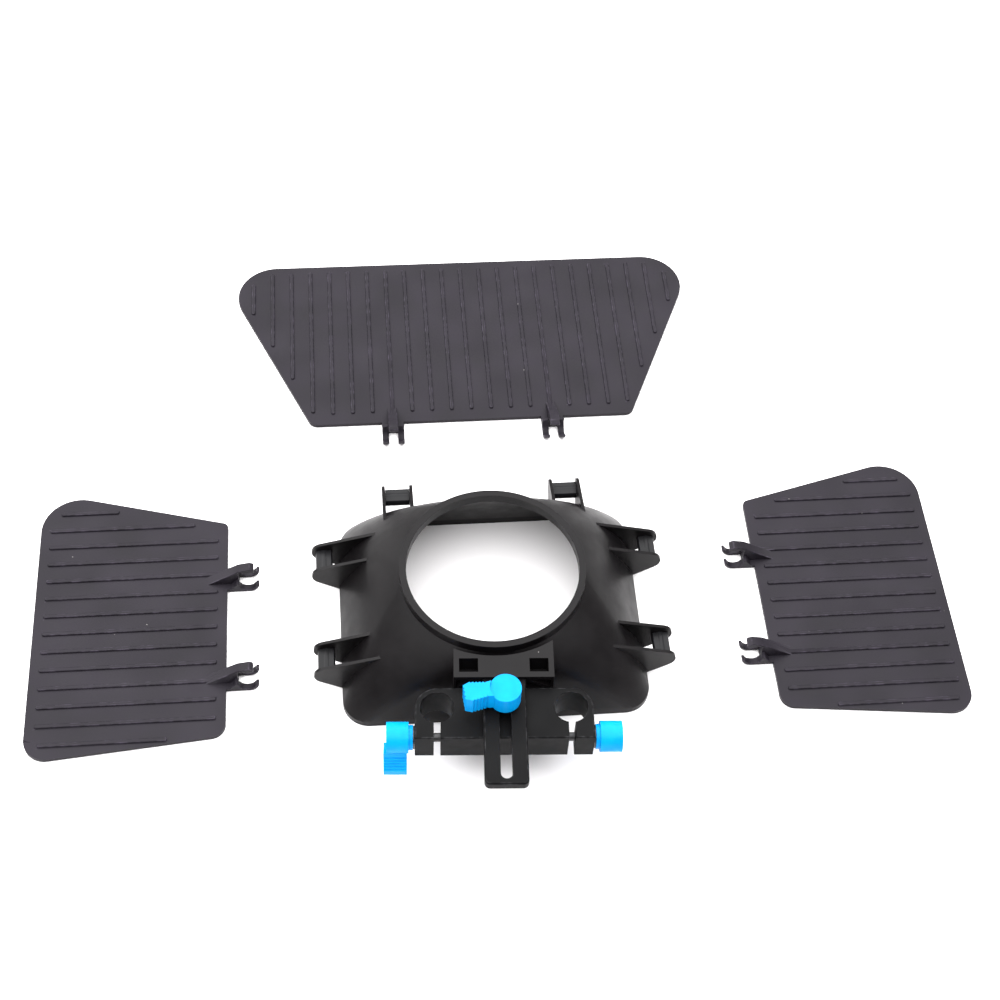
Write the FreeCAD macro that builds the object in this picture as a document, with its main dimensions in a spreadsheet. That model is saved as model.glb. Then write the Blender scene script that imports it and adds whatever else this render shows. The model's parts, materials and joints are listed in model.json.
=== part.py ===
import FreeCAD, Part
import os
import re

import Sketcher

# Matte box (lens hood) for 15 mm rods, in millimetres.
# It lies face down: the front rim rests on the plane z = -ring_height, and +Z points to the camera.
# The origin is the centre of the lens ring's rear face, +Y is the hood's top side and +X its right side.
# Every piece is drawn with z = 0 at the rim's plane, and its Placement lowers it by ring_height.

Vector = FreeCAD.Vector
Rotation = FreeCAD.Rotation

ALONG_X = Rotation(Vector(0, 1, 0), 90)
ALONG_Y = Rotation(Vector(1, 0, 0), -90)
ALONG_Z = Rotation()
XZ_PLANE = Rotation(Vector(1, 0, 0), 90)
YZ_PLANE = Rotation(Vector(1, 1, 1), 120)

DIMENSIONS = {
    # hood shell
    "rim_half_width": 72.2,
    "rim_top": 58.3,
    "rim_bottom": 55.5,
    "rim_top_corner": 17.0,
    "rim_low_corner": 12.5,
    "rim_height": 3.5,
    "waist_level": 22.0,
    "waist_half_width": 61.0,
    "waist_top": 52.6,
    "waist_bottom": 51.3,
    "waist_top_corner": 26.0,
    "waist_low_corner": 24.0,
    "flare_top": 41.0,
    "ring_height": 46.0,
    "ring_radius": 43.6,
    "bore_radius": 40.4,
    "skin_thickness": 2.0,
    "side_arc": 9.0,
    # ears that carry the hinge bars
    "bar_offset": 6.8,
    "bar_level": 13.3,
    "ear_radius": 6.0,
    "ear_thickness": 1.6,
    "ear_gap": 12.1,
    "ear_root_inset": 25.0,
    "ear_root_level": 28.7,
    "ear_heel_level": 1.5,
    "ear_pocket_depth": 1.0,
    "side_pair_spacing": 55.4,
    "top_pair_spacing": 83.7,
    # hinge bars
    "bar_diameter": 8.2,
    "bar_flat": 4.4,
    "bar_end_play": 0.1,
    "journal_diameter": 5.0,
    "running_clearance": 0.05,
    # saddle under the ring
    "saddle_half_width": 22.6,
    "saddle_bottom": 58.0,
    "saddle_level": 44.0,
    "saddle_depth": 12.0,
    "saddle_inner": 36.0,
    "saddle_floor": 2.0,
    "groove_width": 3.2,
    "groove_depth": 5.0,
    "window_inner": 11.6,
    "window_outer": 20.1,
    "window_low": 55.2,
    "window_high": 48.3,
    "pocket_inner": 10.5,
    "pocket_outer": 21.4,
    "pocket_low": 33.2,
    "pocket_high": 41.6,
    "pocket_depth": 2.5,
    "pocket_rib": 1.4,
    "socket_clearance": 0.1,
    # slotted bar
    "slide_width": 19.4,
    "slide_thickness": 4.5,
    "slide_level": 37.5,
    "slide_top": 45.5,
    "slide_end": 109.7,
    "slide_corner": 2.5,
    "slide_edge": 0.6,
    "slot_width": 5.2,
    "slot_top": 63.0,
    "slot_end": 106.9,
    "saddle_screw_spacing": 12.0,
    "saddle_screw_place": 51.3,
    "saddle_screw_radius": 1.5,
    "saddle_screw_length": 9.6,
    "screw_hole_play": 0.1,
    "thread_depth": 4.4,
    "screw_head_radius": 2.75,
    "screw_head_height": 1.8,
    "screw_head_play": 0.2,
    "screw_drive_radius": 1.2,
    "screw_drive_depth": 1.0,
    "saddle_head_level": 32.2,
    # rod clamp block
    "lean_angle": -3.0,
    "pivot_place": 50.0,
    "group_shift": 1.2,
    "rod_spacing": 60.0,
    "rod_bore_radius": 7.55,
    "rod_place": 69.5,
    "block_half_width": 40.0,
    "block_top": 59.5,
    "block_bottom": 85.0,
    "block_thickness": 16.7,
    "block_corner": 10.0,
    "block_edge": 0.5,
    "block_gap": 0.3,
    "slit_width": 3.0,
    "clamp_screw_place": 80.0,
    "clamp_screw_level": 28.8,
    "clamp_screw_radius": 2.0,
    "clamp_screw_reach": 26.0,
    "clamp_hole_reach": 30.0,
    "height_screw_radius": 2.4,
    "height_screw_reach": 12.0,
    "height_hole_reach": 14.5,
    # lever knobs
    "washer_radius": 5.2,
    "washer_thickness": 0.7,
    "washer_gap": 0.05,
    "washer_play": 0.2,
    "collar_radius": 5.6,
    "collar_height": 1.9,
    "head_radius": 7.0,
    "head_height": 9.9,
    "lever_reach": 18.5,
    "lever_waist": 8.0,
    "lever_waist_half": 3.6,
    "lever_end_half": 4.7,
    "lever_end_length": 3.0,
    "lever_low": 2.7,
    "lever_high": 13.2,
    "lever_corner": 1.2,
    "height_knob_turn": 189.0,
    "left_knob_turn": 203.0,
    "right_knob_turn": 28.0,
    # flags
    "plate_thickness": 2.4,
    "rib_height": 0.9,
    "rib_root": 0.2,
    "rib_width": 2.0,
    "rib_margin": 4.5,
    "rib_low_margin": 1.8,
    "side_rib_count": 14,
    "side_rib_pitch": 9.93,
    "side_rib_middle": 6.3,
    "top_rib_count": 23,
    "top_rib_pitch": 10.4,
    "top_rib_margin": 6.5,
    "side_flag_width": 92.0,
    "side_flag_hinge_top": 61.1,
    "side_flag_hinge_bottom": 57.5,
    "side_flag_top": 85.3,
    "side_flag_bottom": 66.3,
    "top_flag_half_far": 134.0,
    "top_flag_half_hinge": 84.2,
    "top_flag_depth": 111.7,
    "side_far_top_corner": 18.5,
    "side_far_low_corner": 10.6,
    "side_near_top_corner": 3.0,
    "side_near_low_corner": 7.0,
    "top_far_corner": 21.0,
    "top_near_corner": 5.0,
    "left_flag_edge": 126.6,
    "right_flag_edge": 134.0,
    "top_flag_edge": 121.6,
    # clips on the flags
    "clip_reach": 10.2,
    "clip_inner": 4.2,
    "clip_outer": 5.6,
    "clip_centre_level": 5.6,
    "clip_tip_level": 4.9,
    "clip_back_level": 6.4,
    "clip_root": 3.0,
    "clip_back_place": 4.6,
    "clip_foot_place": 2.0,
    "hook_width": 3.3,
    "finger_width": 4.8,
    "finger_root": 9.7,
    "finger_reach": 13.4,
    "finger_inner": 5.8,
    "finger_under": 10.9,
    "finger_top": 13.6,
    "finger_crest": 11.4,
    "finger_shoulder": 12.4,
    "finger_nose": 12.7,
}

doc = FreeCAD.newDocument("lens_hood")
sheet = doc.addObject("Spreadsheet::Sheet", "dims")
for row, (alias, number) in enumerate(DIMENSIONS.items(), start=1):
    sheet.set(f"A{row}", alias)
    sheet.set(f"B{row}", str(number))
    sheet.setAlias(f"B{row}", alias)
doc.recompute()


def formula(text):
    """A sheet formula, with each alias pointed at the sheet."""
    return re.sub(r"\b[a-z]+(?:_[a-z]+)+\b", lambda word: "dims." + word.group(), str(text))


def value(text):
    """The number that a formula gives now."""
    return float(sheet.evalExpression(formula(text)))


def bind(item, **formulas):
    """Bind properties of item to formulas."""
    for name, text in formulas.items():
        item.setExpression(name, formula(text))


def locate(item, place, rotation=ALONG_Z):
    """Put item at a place of three formulas, turned by a fixed rotation."""
    item.Placement = FreeCAD.Placement(Vector(), rotation)
    for axis, text in zip("xyz", place):
        item.setExpression(f"Placement.Base.{axis}", formula(text))
    return item


def box(name, place, size):
    """A box from its low corner and its three sizes."""
    item = doc.addObject("Part::Box", name)
    bind(item, Length=size[0], Width=size[1], Height=size[2])
    return locate(item, place)


def cylinder(name, place, radius, length, rotation=ALONG_Z):
    """A cylinder whose first end is centred on place."""
    item = doc.addObject("Part::Cylinder", name)
    bind(item, Radius=radius, Height=length)
    return locate(item, place, rotation)


def fuse(name, pieces):
    item = doc.addObject("Part::MultiFuse", name)
    item.Shapes = pieces
    return item


def cut(name, base, tool):
    item = doc.addObject("Part::Cut", name)
    item.Base = base
    item.Tool = tool
    return item


def common(name, pieces):
    item = doc.addObject("Part::MultiCommon", name)
    item.Shapes = pieces
    return item


def mirror(name, source, normal):
    """The mirror image of source through a plane at the origin."""
    item = doc.addObject("Part::Mirroring", name)
    item.Source = source
    item.Normal = normal
    return item


def draw_outline(sketch, corners):
    """Close an outline of straight lines through corners, each a pair of formulas."""
    count = len(corners)
    places = [Vector(value(across), value(up), 0) for across, up in corners]
    for i in range(count):
        sketch.addGeometry(Part.LineSegment(places[i], places[(i + 1) % count]))
    for i in range(count):
        sketch.addConstraint(Sketcher.Constraint("Coincident", i, 2, (i + 1) % count, 1))
    for i, (across, up) in enumerate(corners):
        for kind, text, number in (("DistanceX", across, places[i].x), ("DistanceY", up, places[i].y)):
            index = sketch.addConstraint(Sketcher.Constraint(kind, -1, 1, i, 1, number))
            sketch.setExpression(f"Constraints[{index}]", formula(text))


def prism(name, corners, length, place=("0", "0", "0"), rotation=ALONG_Z):
    """Extrude a straight-sided outline by length along its sketch's normal, from place."""
    sketch = doc.addObject("Sketcher::SketchObject", name + "_sketch")
    draw_outline(sketch, corners)
    item = doc.addObject("Part::Extrusion", name)
    item.Base = sketch
    item.DirMode = "Custom"
    item.Dir = Vector(0, 0, 1)
    item.Solid = True
    bind(item, LengthFwd=length)
    return locate(item, place, rotation)


def new_body(name):
    return doc.addObject("PartDesign::Body", name)


def plane(body, role):
    """One of the body's own origin planes."""
    return next(item for item in body.Origin.OriginFeatures if item.Role == role)


def body_sketch(body, name, role="XY_Plane", level=None):
    """A sketch on one of the body's planes, raised along its normal by a formula."""
    sketch = body.newObject("Sketcher::SketchObject", name)
    sketch.AttachmentSupport = [(plane(body, role), "")]
    sketch.MapMode = "FlatFace"
    if level is not None:
        sketch.setExpression("AttachmentOffset.Base.z", formula(level))
    return sketch


def pad(body, name, sketch, length):
    item = body.newObject("PartDesign::Pad", name)
    item.Profile = sketch
    bind(item, Length=length)
    doc.recompute()
    return item


def round_edges(body, name, radius, picked):
    """Fillet the edges of the body's tip for which picked(edge) is true."""
    base = body.Tip
    names = [f"Edge{i + 1}" for i, edge in enumerate(base.Shape.Edges) if picked(edge)]
    item = body.newObject("PartDesign::Fillet", name)
    item.Base = (base, names)
    bind(item, Radius=radius)
    doc.recompute()
    return item


def bevel_edges(body, name, size, picked):
    """Chamfer the edges of the body's tip for which picked(edge) is true."""
    base = body.Tip
    names = [f"Edge{i + 1}" for i, edge in enumerate(base.Shape.Edges) if picked(edge)]
    item = body.newObject("PartDesign::Chamfer", name)
    item.Base = (base, names)
    bind(item, Size=size)
    doc.recompute()
    return item


def upright(edge):
    """Is the edge straight and parallel to Z?"""
    low, high = edge.Vertexes[0].Point, edge.Vertexes[-1].Point
    return abs(low.x - high.x) < 1e-6 and abs(low.y - high.y) < 1e-6 and abs(low.z - high.z) > 1e-6


def group(name, pieces):
    """Several objects as one, with a Placement of its own."""
    item = doc.addObject("Part::Compound", name)
    item.Links = pieces
    return item


def lean(item):
    """Turn item about the height bar's pivot on the saddle, and shift it to where the bar is screwed on."""
    item.setExpression("Placement.Base.x", formula("group_shift - pivot_place * sin(lean_angle * 1 deg)"))
    item.setExpression("Placement.Base.y", formula("pivot_place * (cos(lean_angle * 1 deg) - 1)"))
    item.setExpression("Placement.Rotation.Angle", formula("lean_angle * 1 deg"))
    return item


def finish(item, label):
    """Name a sub-part and lower it to the row's frame."""
    item.Label = label
    item.setExpression("Placement.Base.z", formula("0 - ring_height"))
    sub_parts.append(item)


sub_parts = []


def rounded_rectangle(section, inset, level):
    """The hood's section at the rim or the waist: a wire that starts at the lower end of its right side."""
    half_width, top, bottom, top_corner, low_corner = (
        value(f"{section}_{size}") - inset
        for size in ("half_width", "top", "bottom", "top_corner", "low_corner")
    )
    turns = (
        (half_width - top_corner, top - top_corner, top_corner, 0),
        (top_corner - half_width, top - top_corner, top_corner, 90),
        (low_corner - half_width, low_corner - bottom, low_corner, 180),
        (half_width - low_corner, low_corner - bottom, low_corner, 270),
    )
    start = Vector(half_width, low_corner - bottom, level)
    edges = []
    for x, y, radius, angle in turns:
        arc = Part.makeCircle(radius, Vector(x, y, level), Vector(0, 0, 1), angle, angle + 90)
        edges.append(Part.LineSegment(start, arc.Vertexes[0].Point).toShape())
        edges.append(arc)
        start = arc.Vertexes[1].Point
    return Part.Wire(edges)


def split_circle(radius, half_side, level):
    """A circle in eight arcs, a short one facing each side and a long one facing each corner."""
    edges = []
    for middle in (0, 90, 180, 270):
        stops = (middle - half_side, middle + half_side, middle + 90 - half_side)
        for start, end in zip(stops, stops[1:]):
            edges.append(Part.makeCircle(radius, Vector(0, 0, level), Vector(0, 0, 1), start, end))
    return Part.Wire(edges)


def hood_form(name, inset, ring_radius, overshoot):
    """Rim wall, flare and collar in one solid; inset makes the inner form from the same outline."""
    rim_level = value("rim_height")
    flare_level = value("flare_top")
    rim = rounded_rectangle("rim", inset, rim_level)
    waist = rounded_rectangle("waist", inset, value("waist_level"))
    throat = split_circle(ring_radius, value("side_arc"), flare_level)
    flare = Part.makeLoft([rim, waist, throat], True, False)
    wall = Part.Face(rim).extrude(Vector(0, 0, -rim_level - overshoot))
    collar_length = value("ring_height") - flare_level + overshoot
    collar = Part.makeCylinder(ring_radius, collar_length, Vector(0, 0, flare_level))
    item = doc.addObject("Part::Feature", name)
    item.Shape = wall.fuse([flare, collar]).removeSplitter()
    return item


def ear_prism(name, wall, spread, rotation):
    """The side view of an ear, extruded both ways over spread: round tip, sloping top and heel."""
    sketch = doc.addObject("Sketcher::SketchObject", name + "_sketch")
    bar_out = value(wall + " + bar_offset")
    bar_up = value("bar_level")
    radius = value("ear_radius")
    root = Vector(value(wall + " - ear_root_inset"), value("ear_root_level"), 0)
    heel = Vector(value(wall), value("ear_heel_level"), 0)
    foot = Vector(root.x, heel.y, 0)
    tip_top = Vector(bar_out + radius * 0.29, bar_up + radius * 0.96, 0)
    tip_low = Vector(bar_out + radius * 0.56, bar_up - radius * 0.83, 0)
    circle = Part.Circle(Vector(bar_out, bar_up, 0), Vector(0, 0, 1), radius)
    first, last = circle.parameter(tip_low), circle.parameter(tip_top)
    tip = sketch.addGeometry(Part.ArcOfCircle(circle, first, last))
    crest = sketch.addGeometry(Part.LineSegment(tip_top, root))
    inner = sketch.addGeometry(Part.LineSegment(root, foot))
    base = sketch.addGeometry(Part.LineSegment(foot, heel))
    slope = sketch.addGeometry(Part.LineSegment(heel, tip_low))
    for constraint in (
        ("Tangent", tip, 2, crest, 1),
        ("Coincident", crest, 2, inner, 1),
        ("Coincident", inner, 2, base, 1),
        ("Coincident", base, 2, slope, 1),
        ("Tangent", slope, 2, tip, 1),
        ("Vertical", inner),
        ("Horizontal", base),
    ):
        sketch.addConstraint(Sketcher.Constraint(*constraint))
    for kind, part, text in (
        (("DistanceX", -1, 1, tip, 3), bar_out, wall + " + bar_offset"),
        (("DistanceY", -1, 1, tip, 3), bar_up, "bar_level"),
        (("Radius", tip), radius, "ear_radius"),
        (("DistanceX", -1, 1, inner, 1), root.x, wall + " - ear_root_inset"),
        (("DistanceY", -1, 1, inner, 1), root.y, "ear_root_level"),
        (("DistanceX", -1, 1, slope, 1), heel.x, wall),
        (("DistanceY", -1, 1, slope, 1), heel.y, "ear_heel_level"),
    ):
        index = sketch.addConstraint(Sketcher.Constraint(*kind, part))
        sketch.setExpression(f"Constraints[{index}]", formula(text))
    item = doc.addObject("Part::Extrusion", name)
    item.Base = sketch
    item.DirMode = "Custom"
    item.Dir = Vector(0, 0, 1)
    item.Solid = True
    item.Symmetric = True
    bind(item, LengthFwd=spread)
    return locate(item, ("0", "0", "0"), rotation)


def ear_edges(spacing):
    """The low edge, across the hood, of each ear of two pairs that are spacing apart."""
    for side in ("-", ""):
        centre = f"{side}{spacing} / 2"
        yield f"{centre} - ear_gap / 2 - ear_thickness"
        yield f"{centre} + ear_gap / 2"


def make_side_ears():
    """The eight ears of the two sides."""
    profile = ear_prism("side_ear_profile", "rim_half_width", "2 * side_pair_spacing", XZ_PLANE)
    slabs = [
        box(f"side_ear_slab_{i}", ("0", low, "0"), ("2 * rim_half_width", "ear_thickness", "ring_height"))
        for i, low in enumerate(ear_edges("side_pair_spacing"))
    ]
    right = common("right_ears", [profile, fuse("side_ear_slabs", slabs)])
    return [right, mirror("left_ears", right, Vector(1, 0, 0))]


def make_top_ears():
    """The four ears of the top side."""
    profile = ear_prism("top_ear_profile", "rim_top", "2 * top_pair_spacing", YZ_PLANE)
    slabs = [
        box(f"top_ear_slab_{i}", (low, "0", "0"), ("ear_thickness", "2 * rim_top", "ring_height"))
        for i, low in enumerate(ear_edges("top_pair_spacing"))
    ]
    return [common("top_ears", [profile, fuse("top_ear_slabs", slabs)])]


def make_journal_pockets():
    """Blind bearing holes in the ears' inner faces, each pair of ears in line."""
    radius = "journal_diameter / 2 + running_clearance"
    length = "ear_gap + 2 * ear_pocket_depth"
    pockets = []
    for side in ("-", ""):
        for end in ("-", ""):
            place = (
                f"{side}(rim_half_width + bar_offset)",
                f"{end}side_pair_spacing / 2 - ear_gap / 2 - ear_pocket_depth",
                "bar_level",
            )
            pockets.append(cylinder("side_pocket", place, radius, length, ALONG_Y))
        start = f"{side}top_pair_spacing / 2 - ear_gap / 2 - ear_pocket_depth"
        place = (start, "rim_top + bar_offset", "bar_level")
        pockets.append(cylinder("top_pocket", place, radius, length, ALONG_X))
    return pockets


def make_saddle():
    """The saddle's block under the ring, kept clear of the ring by a round groove."""
    block = box(
        "saddle_block",
        ("-saddle_half_width", "-saddle_bottom", "saddle_level - saddle_depth"),
        ("2 * saddle_half_width", "saddle_bottom - saddle_inner", "saddle_depth"),
    )
    groove = cylinder("saddle_groove", ("0", "0", "saddle_level - groove_depth"),
                      "ring_radius + groove_width", "groove_depth + 1")
    return cut("saddle", lean(group("leaning_saddle", [block])), groove)


def make_bar_cuts():
    """The socket for the height bar and the holes of its two screws, all leaning with the bar."""
    cuts = [
        box(
            "socket",
            ("-slide_width / 2 - socket_clearance", "-saddle_bottom - 1", "slide_level - socket_clearance"),
            (
                "slide_width + 2 * socket_clearance",
                "saddle_bottom + 1 - slide_top + socket_clearance",
                "slide_thickness + 2 * socket_clearance",
            ),
        )
    ]
    for side in ("-", ""):
        place = (f"{side}saddle_screw_spacing / 2", "-saddle_screw_place", "saddle_level - saddle_depth - 1")
        hole_radius = "saddle_screw_radius + screw_hole_play"
        cuts.append(cylinder("screw_hole", place, hole_radius, "saddle_depth / 2 + 1"))
        head_depth = "saddle_head_level + screw_head_height - saddle_level + saddle_depth + 1"
        cuts.append(cylinder("head_hole", place, "screw_head_radius + screw_head_play", head_depth))
    return lean(group("bar_cuts", cuts))


def make_saddle_cuts():
    """The saddle's two windows, and the pockets that leave crossed ribs in its near face, leaning with it."""
    floor = "saddle_level - saddle_depth + saddle_floor"
    window_size = ("window_outer - window_inner", "window_low - window_high", "saddle_depth")
    cuts = [
        box("right_window", ("window_inner", "-window_low", floor), window_size),
        box("left_window", ("-window_outer", "-window_low", floor), window_size),
    ]
    lower = [
        ("pocket_inner", "pocket_low"),
        ("pocket_outer - pocket_rib", "pocket_low"),
        ("pocket_inner", "pocket_high - pocket_rib"),
    ]
    upper = [
        ("pocket_outer", "pocket_low + pocket_rib"),
        ("pocket_outer", "pocket_high"),
        ("pocket_inner + pocket_rib", "pocket_high"),
    ]
    for name, corners in (("lower_rib_pocket", lower), ("upper_rib_pocket", upper)):
        place = ("0", "pocket_depth - saddle_bottom", "0")
        pocket = prism(name, corners, "pocket_depth + 1", place, XZ_PLANE)
        cuts += [pocket, mirror("left_" + name, pocket, Vector(1, 0, 0))]
    return lean(group("saddle_cuts", cuts))


def make_hood_shell():
    """The moulded hood: rim, flare, ring, ears and saddle in one piece."""
    outer = hood_form("outer_form", 0, value("ring_radius"), 0)
    inner = hood_form("inner_form", value("skin_thickness"), value("bore_radius"), 1)
    solid = fuse("hood_solid", [outer, make_saddle()] + make_side_ears() + make_top_ears())
    cutters = fuse("hood_cutters", [inner, make_bar_cuts(), make_saddle_cuts()] + make_journal_pockets())
    finish(cut("hood_shell_solid", solid, cutters), "hood_shell")


def hinge_bar(name, label, place, along_x):
    """A round bar with two flats and a short journal at each end, centred on place."""
    rotation = ALONG_X if along_x else ALONG_Y
    half = "(ear_gap / 2 - bar_end_play)"
    journal_half = "(ear_gap / 2 + ear_pocket_depth - bar_end_play)"
    x, y, level = place
    starts = [(f"{x} - {reach}", y, level) if along_x else (x, f"{y} - {reach}", level)
              for reach in (half, journal_half)]
    stock = cylinder(name + "_stock", starts[0], "bar_diameter / 2", f"2 * {half}", rotation)
    low = (f"{x} - ear_gap", f"{y} - ear_gap", f"{level} - bar_flat / 2")
    flats = box(name + "_flats", low, ("2 * ear_gap", "2 * ear_gap", "bar_flat"))
    core = common(name + "_core", [stock, flats])
    journal = cylinder(name + "_journal", starts[1], "journal_diameter / 2", f"2 * {journal_half}", rotation)
    finish(fuse(name, [core, journal]), label)


def make_hinge_bars():
    """Two bars on each side and two on the top side."""
    for side, sign in (("left", "-"), ("right", "")):
        for end, direction in (("near", "-"), ("far", "")):
            label = f"{side}_bar_{end}"
            place = (f"{sign}(rim_half_width + bar_offset)", f"{direction}side_pair_spacing / 2", "bar_level")
            hinge_bar(label + "_solid", label, place, False)
        label = f"top_bar_{side}"
        place = (f"{sign}top_pair_spacing / 2", "rim_top + bar_offset", "bar_level")
        hinge_bar(label + "_solid", label, place, True)


def make_slotted_bar():
    """The flat bar that hangs from the saddle, with its slot and two threaded holes."""
    body = new_body("slide_blank")
    sketch = body_sketch(body, "slide_outline", level="slide_level")
    draw_outline(sketch, [
        ("-slide_width / 2", "-slide_end"), ("slide_width / 2", "-slide_end"),
        ("slide_width / 2", "-slide_top"), ("-slide_width / 2", "-slide_top"),
    ])
    pad(body, "slide_pad", sketch, "slide_thickness")
    end_line = -value("slide_end")
    round_edges(body, "slide_corners", "slide_corner",
                lambda edge: upright(edge) and abs(edge.CenterOfMass.y - end_line) < 0.01)
    rear = value("slide_level + slide_thickness")
    low_half = -value("slide_top") - 1
    bevel_edges(body, "slide_bevel", "slide_edge",
                lambda edge: abs(edge.BoundBox.ZMin - rear) < 0.01 and edge.CenterOfMass.y < low_half)
    low = "slide_level - 1"
    high = "slide_thickness + 2"
    slot_half = "slot_width / 2"
    top_centre, end_centre = f"-slot_top - {slot_half}", f"-slot_end + {slot_half}"
    slot = [
        box("slot_straight", (f"-{slot_half}", end_centre, low),
            ("slot_width", "slot_end - slot_top - slot_width", high)),
        cylinder("slot_top_end", ("0", top_centre, low), slot_half, high),
        cylinder("slot_low_end", ("0", end_centre, low), slot_half, high),
    ]
    threads = [
        cylinder("thread_hole", (f"{side}saddle_screw_spacing / 2", "-saddle_screw_place", low),
                 "saddle_screw_radius + running_clearance", "thread_depth + 1")
        for side in ("-", "")
    ]
    bar = cut("slotted_bar_solid", body, fuse("slide_cutters", slot + threads))
    finish(lean(group("slotted_bar_group", [bar])), "slotted_bar")


def make_bar_screws():
    """Two screws that hold the slotted bar in the saddle's socket."""
    screws = []
    for side in ("-", ""):
        across = f"{side}saddle_screw_spacing / 2"
        head = cylinder("saddle_screw_head", (across, "-saddle_screw_place", "saddle_head_level"),
                        "screw_head_radius", "screw_head_height")
        shank = cylinder("saddle_screw_shank", (across, "-saddle_screw_place", "saddle_head_level"),
                         "saddle_screw_radius", "saddle_screw_length")
        drive = cylinder("saddle_screw_drive", (across, "-saddle_screw_place", "saddle_head_level - 1"),
                         "screw_drive_radius", "screw_drive_depth + 1")
        screws.append(cut("saddle_screw", fuse("saddle_screw_blank", [head, shank]), drive))
    finish(lean(group("bar_screws_group", screws)), "bar_screws")


def make_rod_clamp_block():
    """The block with two split 15 mm bores, and holes for its three screws."""
    body = new_body("block_blank")
    floor = "slide_level - block_gap - block_thickness"
    sketch = body_sketch(body, "block_outline", level=floor)
    draw_outline(sketch, [
        ("-block_half_width", "-block_bottom"), ("block_half_width", "-block_bottom"),
        ("block_half_width", "-block_top"), ("-block_half_width", "-block_top"),
    ])
    pad(body, "block_pad", sketch, "block_thickness")
    top_line = -value("block_top")
    round_edges(body, "block_corners", "block_corner",
                lambda edge: upright(edge) and abs(edge.CenterOfMass.y - top_line) < 0.01)
    levels = (value(floor), value("slide_level - block_gap"))
    bevel_edges(body, "block_bevel", "block_edge",
                lambda edge: not upright(edge) and min(abs(edge.CenterOfMass.z - level) for level in levels) < 0.01)
    low, through = f"{floor} - 1", "block_thickness + 2"
    cuts = []
    for side in ("-", ""):
        axis = f"{side}rod_spacing / 2"
        cuts.append(cylinder("rod_bore", (axis, "-rod_place", low), "rod_bore_radius", through))
        cuts.append(box("slit", (f"{axis} - slit_width / 2", "-block_bottom - 1", low),
                        ("slit_width", "block_bottom + 1 - rod_place", through)))
    clamp_hole = "clamp_screw_radius + running_clearance"
    for side, start in (("left", "-block_half_width - 1"), ("right", "block_half_width - clamp_hole_reach")):
        place = (start, "-clamp_screw_place", "clamp_screw_level")
        cuts.append(cylinder(side + "_clamp_hole", place, clamp_hole, "clamp_hole_reach + 1", ALONG_X))
    cuts.append(cylinder("height_hole", ("0", "-rod_place", "slide_level - block_gap - height_hole_reach"),
                         "height_screw_radius + running_clearance", "height_hole_reach + 1"))
    block = cut("block_solid", body, fuse("block_cutters", cuts))
    finish(lean(group("block_group", [block])), "rod_clamp_block")


def knob_solid(name, turn, screw_radius):
    """A lever knob standing on z = 0 at the origin, its lever turned by an angle about +Z."""
    collar = cylinder(name + "_collar", ("0", "0", "0"), "collar_radius", "collar_height + 1")
    head = cylinder(name + "_head", ("0", "0", "collar_height"), "head_radius", "head_height")
    lever = prism(name + "_lever", [
        ("0", "-lever_end_half"),
        ("lever_waist", "-lever_waist_half"),
        ("lever_reach - lever_end_length", "-lever_end_half"),
        ("lever_reach", "lever_corner - lever_end_half"),
        ("lever_reach", "lever_end_half - lever_corner"),
        ("lever_reach - lever_end_length", "lever_end_half"),
        ("lever_waist", "lever_waist_half"),
        ("0", "lever_end_half"),
    ], "lever_high - lever_low", ("0", "0", "lever_low"))
    lever.setExpression("Placement.Rotation.Angle", formula(turn + " * 1 deg"))
    bore = cylinder(name + "_bore", ("0", "0", "-1"), screw_radius, "collar_height + head_height / 2 + 1")
    crown = cylinder(name + "_crown", ("0", "0", "collar_height + head_height"), "head_radius", "lever_high")
    return cut(name, fuse(name + "_blank", [collar, head, lever]), fuse(name + "_cutters", [bore, crown]))


def make_knob_set(side, place, rotation, screw_radius, screw_reach):
    """A knob, its screw and its washer; place is where the screw's axis leaves the clamped face."""
    prefix = "height" if side == "height" else side + "_clamp"
    knob_low = "(2 * washer_gap + washer_thickness)"
    disc = cylinder(prefix + "_washer_disc", ("0", "0", "washer_gap"), "washer_radius", "washer_thickness")
    hole_radius = f"{screw_radius} + washer_play"
    hole = cylinder(prefix + "_washer_hole", ("0", "0", "0"), hole_radius, "washer_thickness + 1")
    washer = cut(prefix + "_washer_solid", disc, hole)
    knob = locate(knob_solid(prefix + "_knob_solid", side + "_knob_turn", screw_radius), ("0", "0", knob_low))
    screw = cylinder(prefix + "_screw_solid", ("0", "0", f"-{screw_reach}"), screw_radius,
                     f"{screw_reach} + {knob_low} + collar_height + head_height / 2")
    for piece, name in ((washer, "washer"), (knob, "knob"), (screw, "screw")):
        turned = locate(group(f"{prefix}_{name}_turned", [piece]), place, rotation)
        finish(lean(group(f"{prefix}_{name}_group", [turned])), f"{prefix}_{name}")


def make_knobs():
    """The height knob on the slotted bar, and a clamp knob at each end of the block."""
    make_knob_set("height", ("0", "-rod_place", "slide_level + slide_thickness"), ALONG_Z,
                  "height_screw_radius", "(height_screw_reach + slide_thickness + block_gap)")
    make_knob_set("left", ("-block_half_width", "-clamp_screw_place", "clamp_screw_level"),
                  Rotation(Vector(0, 1, 0), -90), "clamp_screw_radius", "clamp_screw_reach")
    make_knob_set("right", ("block_half_width", "-clamp_screw_place", "clamp_screw_level"),
                  ALONG_X, "clamp_screw_radius", "clamp_screw_reach")


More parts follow.
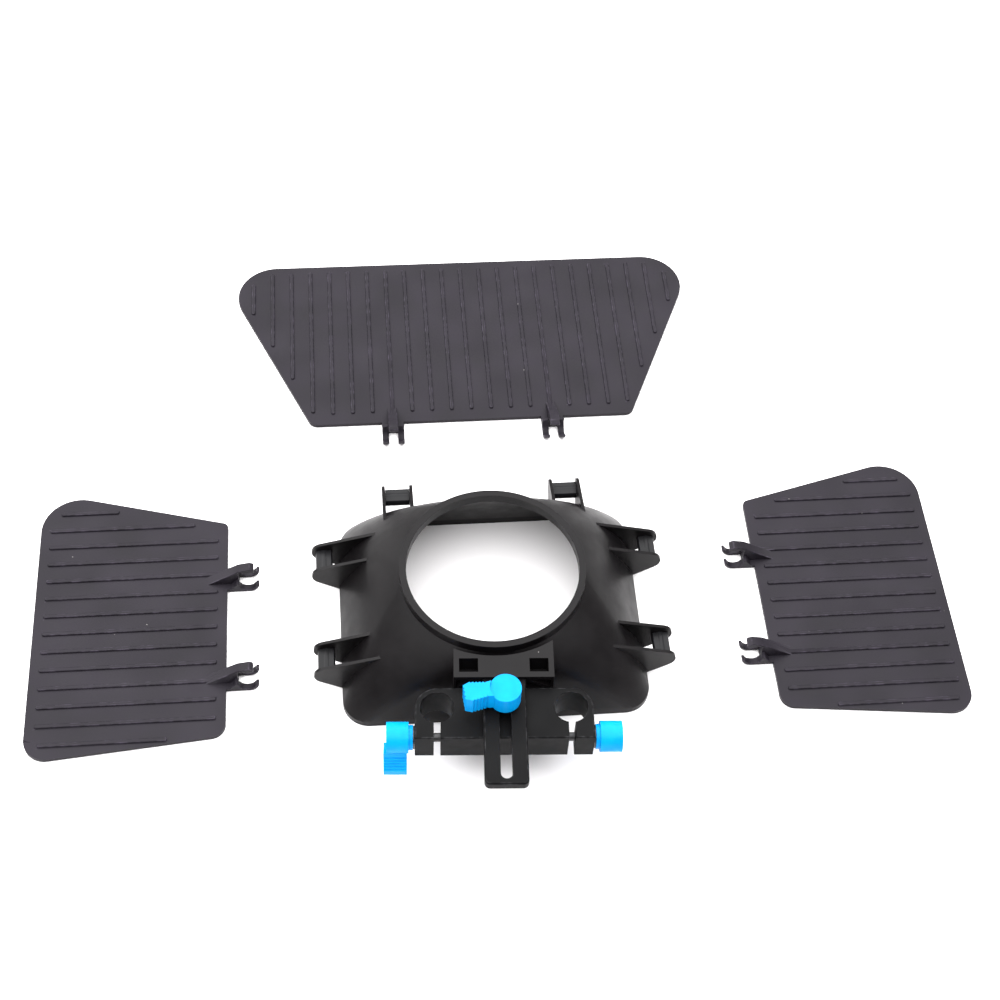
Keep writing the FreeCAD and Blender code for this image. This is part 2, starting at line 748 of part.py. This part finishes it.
def clip(name, along):
    """A clip at x = 0: two hooks open upwards, and a finger that reaches over between them."""
    width = "(2 * hook_width + finger_width)"
    ramp = prism(name + "_ramp", [
        ("clip_root", "0"), ("-clip_reach", "0"), ("-clip_reach", "clip_tip_level"),
        ("-clip_back_place", "clip_back_level"), ("-clip_foot_place", "plate_thickness"),
        ("clip_root", "plate_thickness"),
    ], width, ("0", f"{along} + {width} / 2", "0"), XZ_PLANE)
    start = ("-clip_reach", f"{along} - {width} / 2", "clip_centre_level")
    curl = cylinder(name + "_curl", start, "clip_outer", width, ALONG_Y)
    throat = cylinder(name + "_throat", start, "clip_inner", width, ALONG_Y)
    trim = [
        box(name + "_trim_tip", ("-2 * clip_reach", f"{along} - {width}", "clip_tip_level"),
            ("clip_reach", f"2 * {width}", "clip_outer * 2")),
        box(name + "_trim_back", ("-clip_reach", f"{along} - {width}", "clip_back_level"),
            ("clip_reach", f"2 * {width}", "clip_outer * 2")),
        box(name + "_gap", ("-3 * clip_reach", f"{along} - finger_width / 2", "-1"),
            ("3 * clip_reach", "finger_width", "clip_outer * 3")),
    ]
    cutters = fuse(name + "_cutters", [throat] + trim)
    hooks = cut(name + "_hooks", fuse(name + "_blank", [ramp, curl]), cutters)
    finger = prism(name + "_finger", [
        ("finger_root", "plate_thickness"), ("-finger_inner", "finger_shoulder"),
        ("-finger_crest", "finger_top"), ("-finger_reach", "finger_nose"),
        ("-finger_reach", "finger_under"), ("-finger_inner", "finger_under"),
        ("-finger_inner", "0"), ("clip_root", "0"), ("clip_root", "plate_thickness / 2"),
    ], "finger_width", ("0", f"{along} + finger_width / 2", "0"), XZ_PLANE)
    return [hooks, finger]


def plate(name, corners):
    """A flat plate through corners, each two formulas and the radius that rounds it."""
    body = new_body(name)
    sketch = body_sketch(body, name + "_outline")
    draw_outline(sketch, [(across, up) for across, up, radius in corners])
    pad(body, name + "_pad", sketch, "plate_thickness")
    for i, (across, up, radius) in enumerate(corners):
        x, y = value(across), value(up)
        round_edges(body, f"{name}_corner_{i}", radius,
                    lambda edge: upright(edge) and edge.CenterOfMass.distanceToPoint(
                        Vector(x, y, edge.CenterOfMass.z)) < 0.01)
    return body


def rib(name, start, end, across):
    """A raised rib along X from start to end."""
    return box(name, (start, f"{across} - rib_width / 2", "plate_thickness - rib_root"),
               (f"{end} - ({start})", "rib_width", "rib_height + rib_root"))


def rib_stop(far_edge, corner, turn, outwards):
    """Where a rib ends: rib_margin short of the far edge and of the round corner that starts at turn."""
    beyond = f"max(0; {outwards} + rib_width / 2 - ({turn}))"
    return f"({far_edge} - {corner} + sqrt(({corner} - rib_margin)^2 - {beyond}^2))"


def corner_turn(half, corner, run):
    """Where a far corner's rounding starts, on a plate whose sides slope by 1 in run."""
    return f"{half} - {corner} / tan(atan({run}) / 2)"


def side_flag_solid():
    """The right flag, its hinge edge on x = 0 and its plate towards +X."""
    pieces = [plate("side_plate", [
        ("0", "-side_flag_hinge_bottom", "side_near_low_corner"),
        ("side_flag_width", "-side_flag_bottom", "side_far_low_corner"),
        ("side_flag_width", "side_flag_top", "side_far_top_corner"),
        ("0", "side_flag_hinge_top", "side_near_top_corner"),
    ])]
    top_run = "side_flag_width / (side_flag_top - side_flag_hinge_top)"
    low_run = "side_flag_width / (side_flag_bottom - side_flag_hinge_bottom)"
    top_turn = corner_turn("side_flag_top", "side_far_top_corner", top_run)
    low_turn = corner_turn("side_flag_bottom", "side_far_low_corner", low_run)
    for i in range(int(value("side_rib_count"))):
        across = f"(side_rib_middle + ({i} - (side_rib_count - 1) / 2) * side_rib_pitch)"
        if value(across) > value("side_rib_middle"):
            start = f"max(rib_margin; ({across} + rib_margin - side_flag_hinge_top) * {top_run})"
            stop = rib_stop("side_flag_width", "side_far_top_corner", top_turn, across)
        else:
            start = f"max(rib_margin; (rib_low_margin - {across} - side_flag_hinge_bottom) * {low_run})"
            stop = rib_stop("side_flag_width", "side_far_low_corner", low_turn, f"0 - {across}")
        pieces.append(rib(f"side_rib_{i}", start, stop, across))
    for i, side in enumerate(("-", "")):
        pieces += clip(f"side_clip_{i}", f"{side}side_pair_spacing / 2")
    return fuse("side_flag_solid", pieces)


def make_side_flags():
    """The right flag, and the left flag as its mirror image."""
    right = side_flag_solid()
    left = mirror("left_flag_solid", right, Vector(1, 0, 0))
    for solid, label, edge in (
        (right, "right_flag", "right_flag_edge"),
        (left, "left_flag", "0 - left_flag_edge"),
    ):
        flag = group(label + "_group", [solid])
        flag.setExpression("Placement.Base.x", formula(edge))
        finish(flag, label)


def make_top_flag():
    """The wide flag of the top side."""
    pieces = [plate("top_plate", [
        ("0", "-top_flag_half_hinge", "top_near_corner"),
        ("top_flag_depth", "-top_flag_half_far", "top_far_corner"),
        ("top_flag_depth", "top_flag_half_far", "top_far_corner"),
        ("0", "top_flag_half_hinge", "top_near_corner"),
    ])]
    run = "top_flag_depth / (top_flag_half_far - top_flag_half_hinge)"
    turn = corner_turn("top_flag_half_far", "top_far_corner", run)
    for i in range(int(value("top_rib_count"))):
        across = f"({i} - (top_rib_count - 1) / 2) * top_rib_pitch"
        start = f"max(top_rib_margin; (abs({across}) + rib_margin - top_flag_half_hinge) * {run})"
        stop = rib_stop("top_flag_depth", "top_far_corner", turn, f"abs({across})")
        pieces.append(rib(f"top_rib_{i}", start, stop, across))
    for i, side in enumerate(("-", "")):
        pieces += clip(f"top_clip_{i}", f"{side}top_pair_spacing / 2")
    flat = locate(fuse("top_flag_solid", pieces), ("0", "0", "0"), Rotation(Vector(0, 0, 1), 90))
    top_flag = group("top_flag_group", [flat])
    top_flag.setExpression("Placement.Base.y", formula("top_flag_edge"))
    finish(top_flag, "top_flag")


def write_parts():
    """Check every object, then write each sub-part to its own file."""
    doc.recompute()
    for item in doc.Objects:
        if "Invalid" in item.State or "Error" in item.State:
            raise RuntimeError(f"{item.Name} failed: {item.State}")
    os.makedirs("parts", exist_ok=True)
    for item in sub_parts:
        shape = item.Shape
        if shape.isNull() or not shape.isValid() or not shape.Solids:
            raise RuntimeError(f"{item.Label} has no valid solid")
        shape.exportStep(f"parts/{item.Label}.step")
        limits = shape.BoundBox
        print(f"{item.Label}: {len(shape.Solids)} solids, {shape.Volume:.0f} mm3, "
              f"x {limits.XMin:.1f}..{limits.XMax:.1f}, y {limits.YMin:.1f}..{limits.YMax:.1f}, "
              f"z {limits.ZMin:.1f}..{limits.ZMax:.1f}")


make_hood_shell()
make_hinge_bars()
make_slotted_bar()
make_bar_screws()
make_rod_clamp_block()
make_knobs()
make_side_flags()
make_top_flag()
write_parts()
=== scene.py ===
"""Looks of the lens hood: a matte box for 15 mm rods, taken apart on a white table."""

import json
from math import cos, radians, sin

import bmesh
import bpy
from mathutils import Matrix, Vector


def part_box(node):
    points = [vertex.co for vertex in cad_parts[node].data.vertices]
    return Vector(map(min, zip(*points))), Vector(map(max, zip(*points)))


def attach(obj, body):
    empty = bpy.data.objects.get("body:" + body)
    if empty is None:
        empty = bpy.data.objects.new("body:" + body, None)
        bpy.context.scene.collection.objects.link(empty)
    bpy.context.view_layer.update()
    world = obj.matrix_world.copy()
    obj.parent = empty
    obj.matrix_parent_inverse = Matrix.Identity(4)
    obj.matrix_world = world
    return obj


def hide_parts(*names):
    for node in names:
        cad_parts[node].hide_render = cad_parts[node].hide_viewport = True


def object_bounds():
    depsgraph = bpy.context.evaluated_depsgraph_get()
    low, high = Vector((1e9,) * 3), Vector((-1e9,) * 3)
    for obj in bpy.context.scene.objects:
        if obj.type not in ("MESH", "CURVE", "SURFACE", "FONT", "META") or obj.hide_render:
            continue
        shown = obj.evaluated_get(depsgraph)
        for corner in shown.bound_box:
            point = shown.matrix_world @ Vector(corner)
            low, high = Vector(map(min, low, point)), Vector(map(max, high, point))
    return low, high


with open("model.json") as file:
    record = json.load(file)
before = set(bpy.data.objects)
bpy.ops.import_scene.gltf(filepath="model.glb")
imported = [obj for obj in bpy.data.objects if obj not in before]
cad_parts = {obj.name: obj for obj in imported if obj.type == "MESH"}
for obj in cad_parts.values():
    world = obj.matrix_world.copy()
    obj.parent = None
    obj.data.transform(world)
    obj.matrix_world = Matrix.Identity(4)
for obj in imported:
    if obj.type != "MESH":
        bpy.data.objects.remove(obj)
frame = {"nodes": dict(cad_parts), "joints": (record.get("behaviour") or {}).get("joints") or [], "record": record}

CAD_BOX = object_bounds()
MM = 0.001

# How the CAD's triangles become faces: which are one face, which edges are corners, which are shaded smooth.
WELD = 0.002 * MM
LEVEL_TOLERANCE = 0.02 * MM
FLAT_ANGLE = radians(0.5)
CURVED_FLAT_ANGLE = radians(0.02)
OUTER_ANGLE = radians(28)
SMOOTH_ANGLE = radians(38)
SHELL_SMOOTH_ANGLE = radians(13)

# Sizes of the CAD's flags, which their ribs are found by.
PLATE_THICKNESS = 2.4 * MM
RIB_HEIGHT = 0.9 * MM
RIB_WIDTH = 2.0 * MM

# Roundings: how wide each one is, and how many strips it is made of.
PLASTIC_EDGE = (0.3 * MM, 3)
METAL_EDGE = (0.25 * MM, 3)
SCREW_EDGE = (0.12 * MM, 3)
KNOB_EDGE = (0.7 * MM, 4)
FLAG_EDGE = (0.4 * MM, 2)
RIB_END = (0.45 * RIB_WIDTH, 4)
RIB_DOME = (0.6 * RIB_HEIGHT, 3)

# A knob's lever in the CAD: how far from the axis its waist, shoulder, tip and end are, and its half widths.
LEVER_WAIST = 8.0 * MM
LEVER_SHOULDER = 15.5 * MM
LEVER_REACH = 18.5 * MM
LEVER_TIP = 0.97 * LEVER_REACH
WAIST_HALF = 3.6 * MM
END_HALF = 4.7 * MM

# Grip flutes: five down each flank of the lever and three across its end.
FLANK_FLUTES = 5
END_FLUTE_PLACES = (-2.0 * MM, 0.0, 2.0 * MM)
FLUTE_RADIUS = 0.42 * MM
FLUTE_SIDES = 10
FLUTE_LENGTH = 40 * MM

# The face attribute that marks rounded edges, which wear rubs first.
WORN = "worn"

# Black plastics: colour, roughness, size of the moulded grain and specular level.
SHELL_PLASTIC = ((0.0042, 0.0036, 0.0040), 0.38, 0.35 * MM, 0.115)
FLAG_PLASTIC = ((0.0112, 0.0094, 0.0132), 0.5, 0.45 * MM, 0.13)
BAR_PLASTIC = ((0.006, 0.006, 0.0068), 0.36, 0.3 * MM, 0.15)
DUST = (0.35, 0.33, 0.32)

# The table, a little below the object so that the two never share a plane.
TABLE_SIZE = 16
TABLE_GAP = 0.02 * MM

# The camera, fitted to the photograph's view: it looks at AIM, a point on the table, and is turned by ROLL.
AIM = (10.52 * MM, 70.278 * MM)
AZIMUTH = radians(-7.324)
ELEVATION = radians(54.373)
ROLL = radians(3.485)
DISTANCE = 892.985 * MM
LENS = 63.06
SENSOR = 36

# The lights: where each one is, its size in metres and its power in watts, and the point that they face.
OVERHEAD_LIGHT = ((-0.1, 0.35, 1.7), 3.6, 190)
REAR_LEFT_LIGHT = ((-1.3, 1.3, 0.9), 1.0, 14)
LIGHT_AIM = (0, 0.1, 0)
ROOM_COLOUR = (1, 0.98, 0.99, 1)
ROOM_STRENGTH = 0.6


# Meshes


def start_form(node, flat_angle=FLAT_ANGLE):
    """The form of a CAD node, welded and with its flat faces in one piece each."""
    form = bmesh.new()
    form.from_mesh(frame["nodes"][node].data)
    bmesh.ops.remove_doubles(form, verts=form.verts, dist=WELD)
    bmesh.ops.dissolve_limit(form, angle_limit=flat_angle, verts=form.verts, edges=form.edges)
    form.faces.layers.float.new(WORN)
    return form


def outer_edges(form):
    """The outer corners of a form: its convex edges that turn by a clear angle."""
    return [edge for edge in form.edges
            if edge.is_manifold and edge.is_convex and edge.calc_face_angle() > OUTER_ANGLE]


def round_off(form, edges, width, strips, clamped=True):
    """Round edges to width in a number of strips, and mark the new faces as worn."""
    worn = form.faces.layers.float[WORN]
    made = bmesh.ops.bevel(form, geom=edges, offset=width, offset_type="OFFSET", segments=strips,
                           profile=0.5, affect="EDGES", clamp_overlap=clamped)
    for face in made["faces"]:
        face[worn] = 1.0


def finish_form(form, name, body, material, replaced, smooth_angle=SMOOTH_ANGLE):
    """Make a shown piece of a form, riding on a body and standing for CAD nodes."""
    mesh = bpy.data.meshes.new(name)
    form.to_mesh(mesh)
    form.free()
    mesh.shade_smooth()
    mesh.set_sharp_from_angle(angle=smooth_angle)
    mesh.materials.append(material)
    piece = bpy.data.objects.new(name, mesh)
    bpy.context.scene.collection.objects.link(piece)
    weighted = piece.modifiers.new("weighted_normals", "WEIGHTED_NORMAL")
    weighted.keep_sharp = True
    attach(piece, body)
    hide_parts(replaced)
    return piece


def body_of(node):
    """The name of the body that a CAD node belongs to."""
    return next(body for body, nodes in frame["record"]["behaviour"]["bodies"].items() if node in nodes)


def softened(node, material, rounding):
    """A CAD node with its outer edges rounded."""
    form = start_form(node)
    round_off(form, outer_edges(form), *rounding)
    return finish_form(form, node + "_look", body_of(node), material, node)


def make_shell(material):
    """The hood, whose curved skin keeps its fine facets and joins its ears and ring at clear edges."""
    node = "hood_shell"
    form = start_form(node, CURVED_FLAT_ANGLE)
    round_off(form, outer_edges(form), *PLASTIC_EDGE)
    finish_form(form, node + "_look", body_of(node), material, node, SHELL_SMOOTH_ANGLE)


def at_level(vertex, level):
    return abs(vertex.co.z - level) < LEVEL_TOLERANCE


def make_flag(node, material):
    """A flag with round-ended, domed ribs and softened edges."""
    form = start_form(node)
    plate_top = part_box(node)[0].z + PLATE_THICKNESS
    rib_top = plate_top + RIB_HEIGHT
    rib_corners = [edge for edge in form.edges
                   if {at_level(v, plate_top) for v in edge.verts} == {True, False}
                   and {at_level(v, rib_top) for v in edge.verts} == {True, False}
                   and edge.is_convex]
    round_off(form, rib_corners, *RIB_END)
    rib_rims = [edge for edge in outer_edges(form) if all(at_level(v, rib_top) for v in edge.verts)]
    round_off(form, rib_rims, *RIB_DOME)
    others = [edge for edge in outer_edges(form)
              if not all(plate_top - WELD < v.co.z < rib_top + WELD for v in edge.verts)]
    round_off(form, others, *FLAG_EDGE, clamped=False)
    finish_form(form, node + "_look", body_of(node), material, node)


# Materials


class Recipe:
    """A material's node tree, with short calls for the nodes that these materials share."""

    def __init__(self, name):
        self.material = bpy.data.materials.new(name)
        self.material.use_nodes = True
        self.nodes = self.material.node_tree.nodes
        self.links = self.material.node_tree.links
        self.shader = self.nodes["Principled BSDF"]
        self.place = self.nodes.new("ShaderNodeTexCoord").outputs["Object"]

    def noise(self, size, detail=3.0, stretch=(1, 1, 1)):
        """Soft noise from 0 to 1 with features of a size in metres."""
        mapping = self.nodes.new("ShaderNodeMapping")
        mapping.inputs["Scale"].default_value = stretch
        self.links.new(self.place, mapping.inputs["Vector"])
        node = self.nodes.new("ShaderNodeTexNoise")
        node.inputs["Scale"].default_value = 1 / size
        node.inputs["Detail"].default_value = detail
        self.links.new(mapping.outputs["Vector"], node.inputs["Vector"])
        return node.outputs["Fac"]

    def span(self, source, low, high, start=0.3, end=0.7):
        """Map source from start..end to low..high."""
        node = self.nodes.new("ShaderNodeMapRange")
        node.inputs["From Min"].default_value = start
        node.inputs["From Max"].default_value = end
        node.inputs["To Min"].default_value = low
        node.inputs["To Max"].default_value = high
        self.links.new(source, node.inputs["Value"])
        return node.outputs["Result"]

    def product(self, first, second):
        node = self.nodes.new("ShaderNodeMath")
        node.operation = "MULTIPLY"
        self.links.new(first, node.inputs[0])
        self.links.new(second, node.inputs[1])
        return node.outputs["Value"]

    def blend(self, share, first, second):
        """Mix two colours, each an RGB triple or a socket, by a share from 0 to 1."""
        node = self.nodes.new("ShaderNodeMix")
        node.data_type = "RGBA"
        self.links.new(share, node.inputs["Factor"])
        for socket, colour in zip((node.inputs[6], node.inputs[7]), (first, second)):
            if isinstance(colour, tuple):
                socket.default_value = (*colour, 1)
            else:
                self.links.new(colour, socket)
        return node.outputs[2]

    def specks(self, spacing, radius):
        """Sparse round specks: 1 inside, 0 outside."""
        node = self.nodes.new("ShaderNodeTexVoronoi")
        node.inputs["Scale"].default_value = 1 / spacing
        self.links.new(self.place, node.inputs["Vector"])
        core, rim = 0.6 * radius / spacing, radius / spacing
        return self.span(node.outputs["Distance"], 1, 0, start=core, end=rim)

    def worn_edges(self, size):
        """Where the rounded edges are rubbed, in patches of a size."""
        node = self.nodes.new("ShaderNodeAttribute")
        node.attribute_name = WORN
        patches = self.span(self.noise(size), 0, 1, start=0.45, end=0.7)
        return self.product(node.outputs["Fac"], patches)

    def bump(self, height, distance, under=None):
        node = self.nodes.new("ShaderNodeBump")
        node.inputs["Distance"].default_value = distance
        self.links.new(height, node.inputs["Height"])
        if under is not None:
            self.links.new(under, node.inputs["Normal"])
        return node.outputs["Normal"]

    def surface(self, colour, roughness, normal, metal=0.0, specular=0.5):
        self.links.new(colour, self.shader.inputs["Base Color"])
        self.links.new(roughness, self.shader.inputs["Roughness"])
        self.links.new(normal, self.shader.inputs["Normal"])
        self.shader.inputs["Metallic"].default_value = metal
        self.shader.inputs["Specular IOR Level"].default_value = specular
        return self.material


def moulded_plastic(name, colour, roughness, grain, specular):
    """Black moulded plastic: a spark-eroded grain, cloudy gloss, rubbed edges and a little dust."""
    recipe = Recipe(name)
    dark = tuple(0.8 * c for c in colour)
    light = tuple(1.3 * c for c in colour)
    rubbed = tuple(3.0 * c for c in colour)
    cloud = recipe.noise(size=18 * MM)
    base = recipe.blend(recipe.span(cloud, 0, 1), dark, light)
    base = recipe.blend(recipe.worn_edges(size=4 * MM), base, rubbed)
    base = recipe.blend(recipe.specks(spacing=14 * MM, radius=0.22 * MM), base, DUST)
    gloss = recipe.span(recipe.noise(size=9 * MM), low=roughness - 0.05, high=roughness + 0.07)
    flow = recipe.bump(recipe.noise(size=14 * MM, detail=1.0), distance=0.07 * MM)
    texture = recipe.bump(recipe.noise(size=grain, detail=2.0), distance=0.05 * grain, under=flow)
    return recipe.surface(base, gloss, texture, specular=specular)


def anodised_aluminium():
    """Black anodised aluminium: a fine blasted grain, with bare metal showing through on its edges."""
    recipe = Recipe("anodised_aluminium")
    dark, light, bare = (0.0025, 0.0025, 0.0028), (0.0045, 0.0045, 0.0048), (0.03, 0.03, 0.032)
    base = recipe.blend(recipe.span(recipe.noise(size=12 * MM), 0, 1), dark, light)
    base = recipe.blend(recipe.worn_edges(size=3 * MM), base, bare)
    gloss = recipe.span(recipe.noise(size=6 * MM), low=0.42, high=0.55)
    lines = recipe.bump(recipe.noise(size=0.5 * MM, detail=2.0, stretch=(0.06, 1, 1)), distance=0.008 * MM)
    texture = recipe.bump(recipe.noise(size=0.18 * MM, detail=2.0), distance=0.008 * MM, under=lines)
    return recipe.surface(base, gloss, texture, specular=0.06)


def blackened_steel():
    """Blackened screw steel, slightly oily."""
    recipe = Recipe("blackened_steel")
    dark, light, bare = (0.02, 0.02, 0.022), (0.05, 0.05, 0.052), (0.25, 0.25, 0.26)
    base = recipe.blend(recipe.span(recipe.noise(size=2 * MM), 0, 1), dark, light)
    base = recipe.blend(recipe.worn_edges(size=1 * MM), base, bare)
    gloss = recipe.span(recipe.noise(size=1.5 * MM), low=0.28, high=0.42)
    texture = recipe.bump(recipe.noise(size=0.3 * MM), distance=0.01 * MM)
    return recipe.surface(base, gloss, texture, metal=0.6)


def blue_plastic():
    """Bright blue moulded knob plastic that lets a little light in."""
    recipe = Recipe("blue_plastic")
    deep, bright, rubbed = (0.0002, 0.24, 0.60), (0.0004, 0.28, 0.66), (0.01, 0.5, 0.8)
    base = recipe.blend(recipe.span(recipe.noise(size=5 * MM), 0, 1), deep, bright)
    base = recipe.blend(recipe.worn_edges(size=2 * MM), base, rubbed)
    gloss = recipe.span(recipe.noise(size=3 * MM), low=0.28, high=0.4)
    texture = recipe.bump(recipe.noise(size=0.5 * MM, detail=2.0), distance=0.012 * MM)
    recipe.shader.inputs["Subsurface Weight"].default_value = 0.12
    recipe.shader.inputs["Subsurface Scale"].default_value = 1.5 * MM
    recipe.shader.inputs["Subsurface Radius"].default_value = (0.2, 0.8, 1.0)
    return recipe.surface(base, gloss, texture, specular=0.08)


def table_white():
    """A plain white table top."""
    recipe = Recipe("table_white")
    dim, bright = (0.90, 0.885, 0.89), (0.92, 0.905, 0.91)
    base = recipe.blend(recipe.span(recipe.noise(size=60 * MM), 0, 1), dim, bright)
    gloss = recipe.span(recipe.noise(size=20 * MM), low=0.6, high=0.7)
    texture = recipe.bump(recipe.noise(size=0.6 * MM), distance=0.01 * MM)
    return recipe.surface(base, gloss, texture, specular=0.3)


# Knobs


def lever_knob(side, material):
    """A lever knob: softened edges, with grip flutes down the lever's flanks and end."""
    node = "height_knob" if side == "height" else side + "_clamp_knob"
    joint = next(joint for joint in frame["joints"] if joint["name"] == side + "_knob_turn")
    origin, axis = Vector(joint["pos_m"]), Vector(joint["axis"]).normalized()
    piece = softened(node, material, KNOB_EDGE)
    offsets = [v.co - origin for v in frame["nodes"][node].data.vertices]
    flat = [offset - offset.dot(axis) * axis for offset in offsets]
    tips = [offset for offset in flat if offset.length > LEVER_TIP]
    lever = sum(tips, Vector()).normalized()
    cutter = flute_cutter(node + "_flutes", origin, axis, lever)
    flutes = piece.modifiers.new("flutes", "BOOLEAN")
    flutes.object = cutter
    flutes.operation = "DIFFERENCE"
    flutes.solver = "EXACT"
    piece.modifiers.move(1, 0)
    keep_result(piece, "flutes")
    bpy.data.objects.remove(cutter)


def keep_result(piece, name):
    """Apply one modifier of a piece."""
    with bpy.context.temp_override(object=piece, active_object=piece):
        bpy.ops.object.modifier_apply(modifier=name)


def flute_cutter(name, origin, axis, lever):
    """Thin rods along the knob's axis, spaced along the lever's flanks and across its end."""
    across = axis.cross(lever)
    spots = []
    for i in range(FLANK_FLUTES):
        share = (i + 0.5) / FLANK_FLUTES
        out = LEVER_WAIST + share * (LEVER_SHOULDER - LEVER_WAIST)
        half = WAIST_HALF + share * (END_HALF - WAIST_HALF)
        spots += [(out, half), (out, -half)]
    spots += [(LEVER_REACH, side) for side in END_FLUTE_PLACES]
    form = bmesh.new()
    for out, side in spots:
        foot = origin + out * lever + side * across
        turn = Matrix((lever, across, axis)).transposed().to_4x4()
        bmesh.ops.create_cone(form, cap_ends=True, segments=FLUTE_SIDES, radius1=FLUTE_RADIUS,
                              radius2=FLUTE_RADIUS, depth=FLUTE_LENGTH,
                              matrix=Matrix.Translation(foot) @ turn)
    mesh = bpy.data.meshes.new(name)
    form.to_mesh(mesh)
    form.free()
    cutter = bpy.data.objects.new(name, mesh)
    bpy.context.scene.collection.objects.link(cutter)
    return cutter


# Stage


def make_table():
    """The white table under the hood and its flags."""
    bpy.ops.mesh.primitive_plane_add(size=TABLE_SIZE, location=(0, 0, CAD_BOX[0][2] - TABLE_GAP))
    table = bpy.context.object
    table.name = "table"
    table.data.materials.append(table_white())


def soft_light(name, place, size, power):
    """A square studio light that faces the object."""
    data = bpy.data.lights.new(name, "AREA")
    data.size = size
    data.energy = power
    light = bpy.data.objects.new(name, data)
    light.location = place
    light.rotation_euler = (Vector(LIGHT_AIM) - Vector(place)).to_track_quat("-Z", "Y").to_euler()
    bpy.context.scene.collection.objects.link(light)


def make_lights():
    """A wide overhead softbox, a smaller one behind on the left, and an even dim room."""
    soft_light("overhead_softbox", *OVERHEAD_LIGHT)
    soft_light("rear_left_softbox", *REAR_LEFT_LIGHT)
    world = bpy.data.worlds.new("studio")
    world.use_nodes = True
    background = world.node_tree.nodes["Background"]
    background.inputs["Color"].default_value = ROOM_COLOUR
    background.inputs["Strength"].default_value = ROOM_STRENGTH
    bpy.context.scene.world = world


def make_camera():
    """A camera above the near side, tilted a little, as the photograph was taken."""
    target = Vector((*AIM, CAD_BOX[0][2]))
    back = Vector((sin(AZIMUTH) * cos(ELEVATION), -cos(AZIMUTH) * cos(ELEVATION), sin(ELEVATION)))
    right = (-back).cross(Vector((0, 0, 1))).normalized()
    up = right.cross(-back)
    rolled_right = right * cos(ROLL) + up * sin(ROLL)
    rolled_up = up * cos(ROLL) - right * sin(ROLL)
    data = bpy.data.cameras.new("camera")
    data.sensor_width = SENSOR
    data.lens = LENS
    camera = bpy.data.objects.new("camera", data)
    turn = Matrix((rolled_right, rolled_up, back)).transposed().to_4x4()
    camera.matrix_world = Matrix.Translation(target + DISTANCE * back) @ turn
    bpy.context.scene.collection.objects.link(camera)
    bpy.context.scene.camera = camera


def make_looks():
    """Every piece of the object, each in its own material."""
    shell_plastic = moulded_plastic("shell_plastic", *SHELL_PLASTIC)
    flag_plastic = moulded_plastic("flag_plastic", *FLAG_PLASTIC)
    bar_plastic = moulded_plastic("bar_plastic", *BAR_PLASTIC)
    aluminium = anodised_aluminium()
    steel = blackened_steel()
    blue = blue_plastic()
    make_shell(shell_plastic)
    for flag in ("left_flag", "right_flag", "top_flag"):
        make_flag(flag, flag_plastic)
    for bar in ("left_bar_far", "left_bar_near", "right_bar_far", "right_bar_near",
                "top_bar_left", "top_bar_right"):
        softened(bar, bar_plastic, PLASTIC_EDGE)
    for node in ("slotted_bar", "rod_clamp_block"):
        softened(node, aluminium, METAL_EDGE)
    for node in ("bar_screws", "height_screw", "left_clamp_screw", "right_clamp_screw",
                 "height_washer", "left_clamp_washer", "right_clamp_washer"):
        softened(node, steel, SCREW_EDGE)
    for side in ("height", "left", "right"):
        lever_knob(side, blue)


make_looks()
make_table()
make_lights()
make_camera()
bpy.context.scene.view_settings.view_transform = "Standard"
